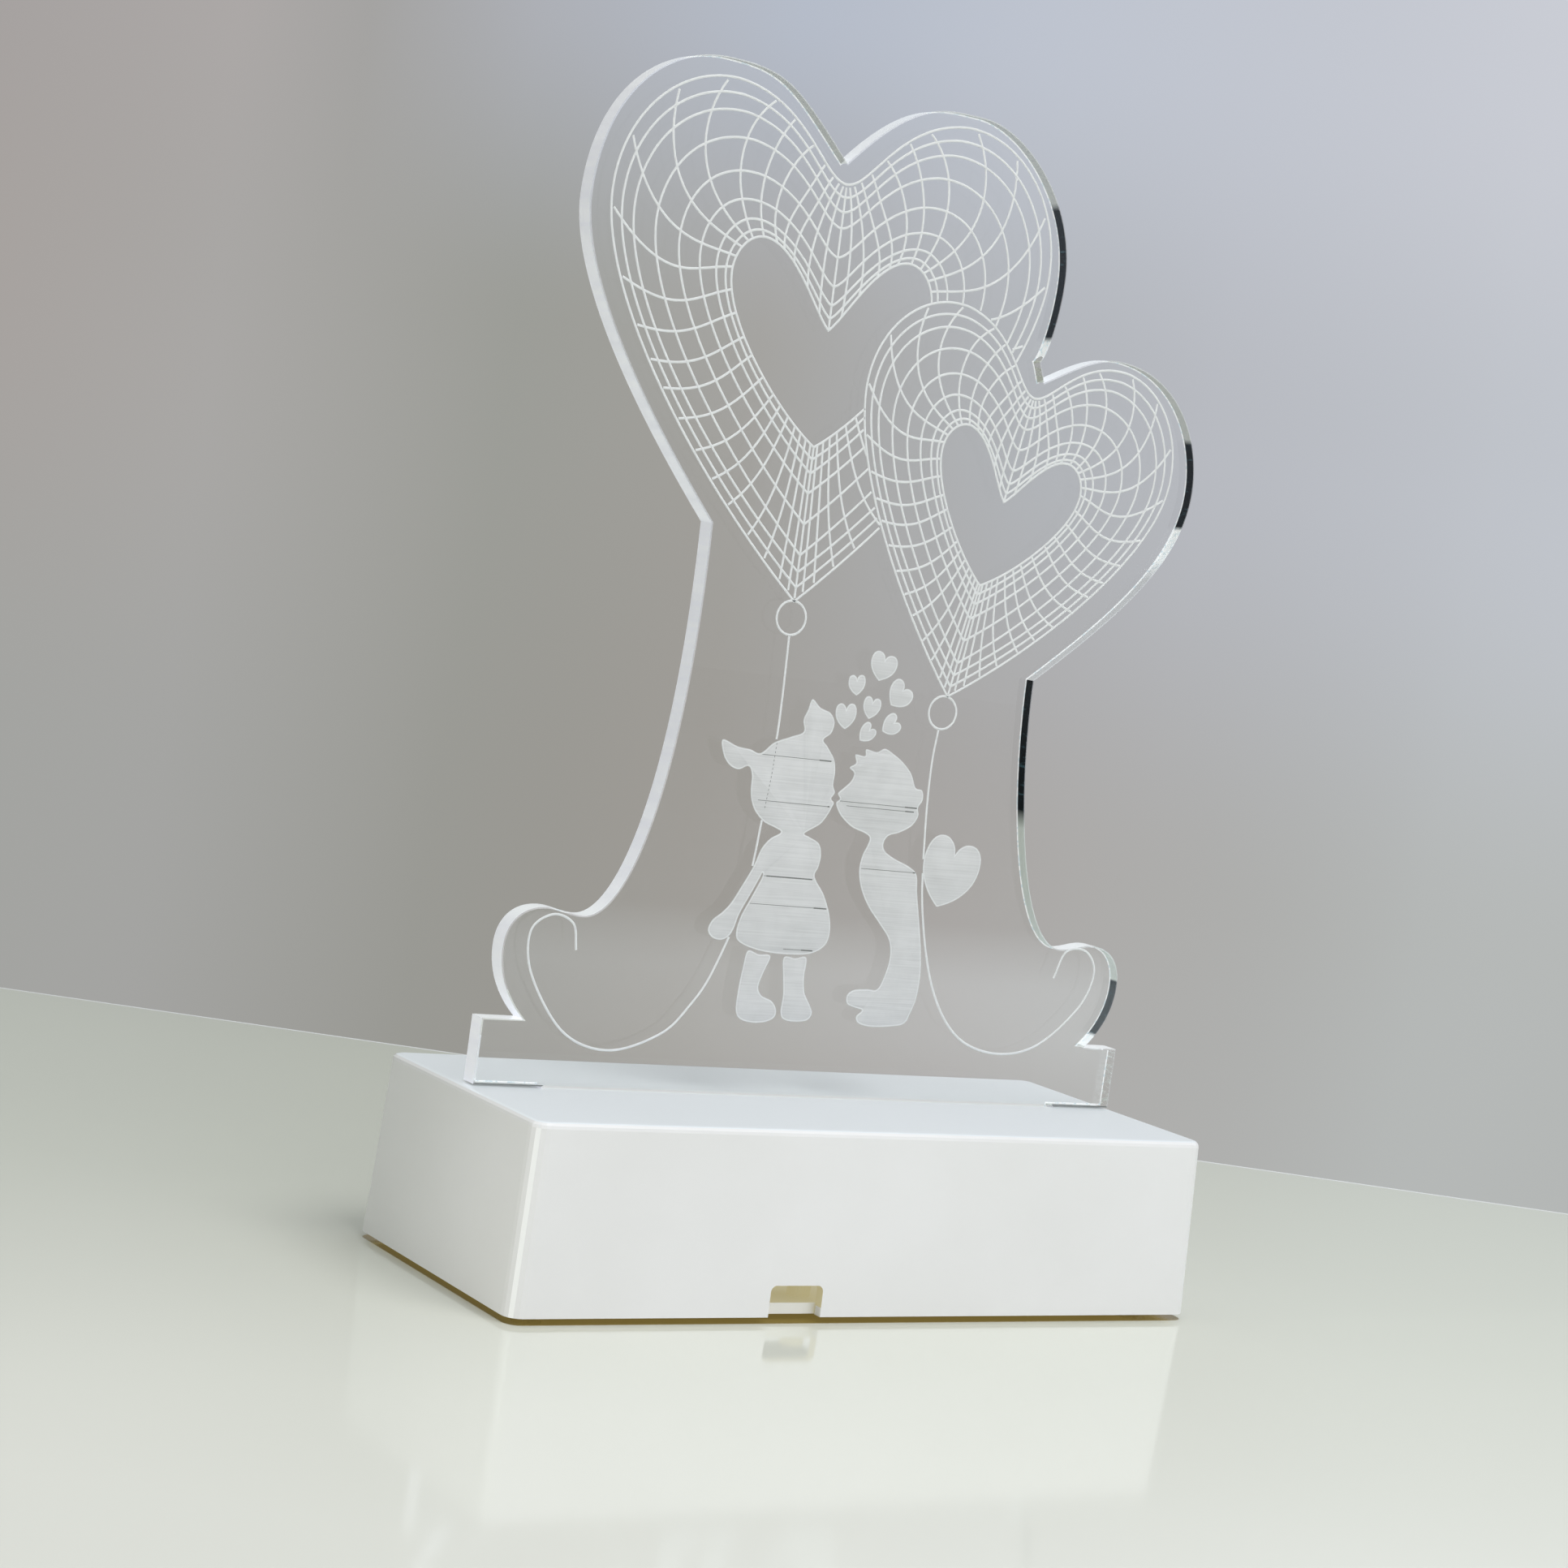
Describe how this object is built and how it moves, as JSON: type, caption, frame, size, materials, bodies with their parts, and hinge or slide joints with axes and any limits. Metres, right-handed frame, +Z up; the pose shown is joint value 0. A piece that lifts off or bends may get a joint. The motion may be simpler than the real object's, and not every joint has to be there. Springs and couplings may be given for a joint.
{
  "type": "optical illusion lamp",
  "caption": "Table lamp: a clear acrylic panel cut to two joined hearts on scroll feet stands in the slot of a white rectangular LED base and lifts out.",
  "frame": {"origin": "on the table, under the middle of the base", "axes": "+Z up, -Y to the front, so that the cord notch is in the rear wall (+Y) and the larger heart is on the +X side"},
  "size_m": [0.15, 0.0632, 0.2242],
  "materials": {
    "clear_acrylic": "clear cast acrylic, polished faces and cut edges",
    "white_plastic": "moulded white ABS, satin gloss",
    "black_rubber": "soft matte rubber",
    "zinc_steel": "zinc plated screw steel",
    "board_white": "glass fibre board with white solder mask",
    "led_case": "warm white LED package",
    "resistor_black": "chip resistor coating",
    "header_nylon": "natural nylon",
    "tinned_pin": "tinned square pin",
    "clamp_black": "black moulded plastic"
  },
  "bodies": {
    "base": {"base_shell": "white_plastic", "bottom_cover": "white_plastic", "rubber_foot_front_left": "black_rubber", "rubber_foot_front_right": "black_rubber", "rubber_foot_rear_left": "black_rubber", "rubber_foot_rear_right": "black_rubber", "cover_screw_1": "zinc_steel", "cover_screw_2": "zinc_steel", "cover_screw_3": "zinc_steel", "cover_screw_4": "zinc_steel", "led_board": "board_white", "led_01": "led_case", "led_02": "led_case", "led_03": "led_case", "led_04": "led_case", "led_05": "led_case", "led_06": "led_case", "led_07": "led_case", "led_08": "led_case", "led_09": "led_case", "led_10": "led_case", "led_11": "led_case", "led_12": "led_case", "resistor_1": "resistor_black", "resistor_2": "resistor_black", "resistor_3": "resistor_black", "resistor_4": "resistor_black", "board_screw_1": "zinc_steel", "board_screw_2": "zinc_steel", "power_header": "header_nylon", "header_pin_1": "tinned_pin", "header_pin_2": "tinned_pin", "cord_clamp": "clamp_black", "clamp_screw_1": "zinc_steel", "clamp_screw_2": "zinc_steel"},
    "panel": {"acrylic_panel": "clear_acrylic"}
  },
  "joints": [
    {"name": "panel_lift", "type": "slide", "parent": "base", "child": "panel", "axis": [0, 0, 1], "range_m": [0, 0.015]}
  ]
}
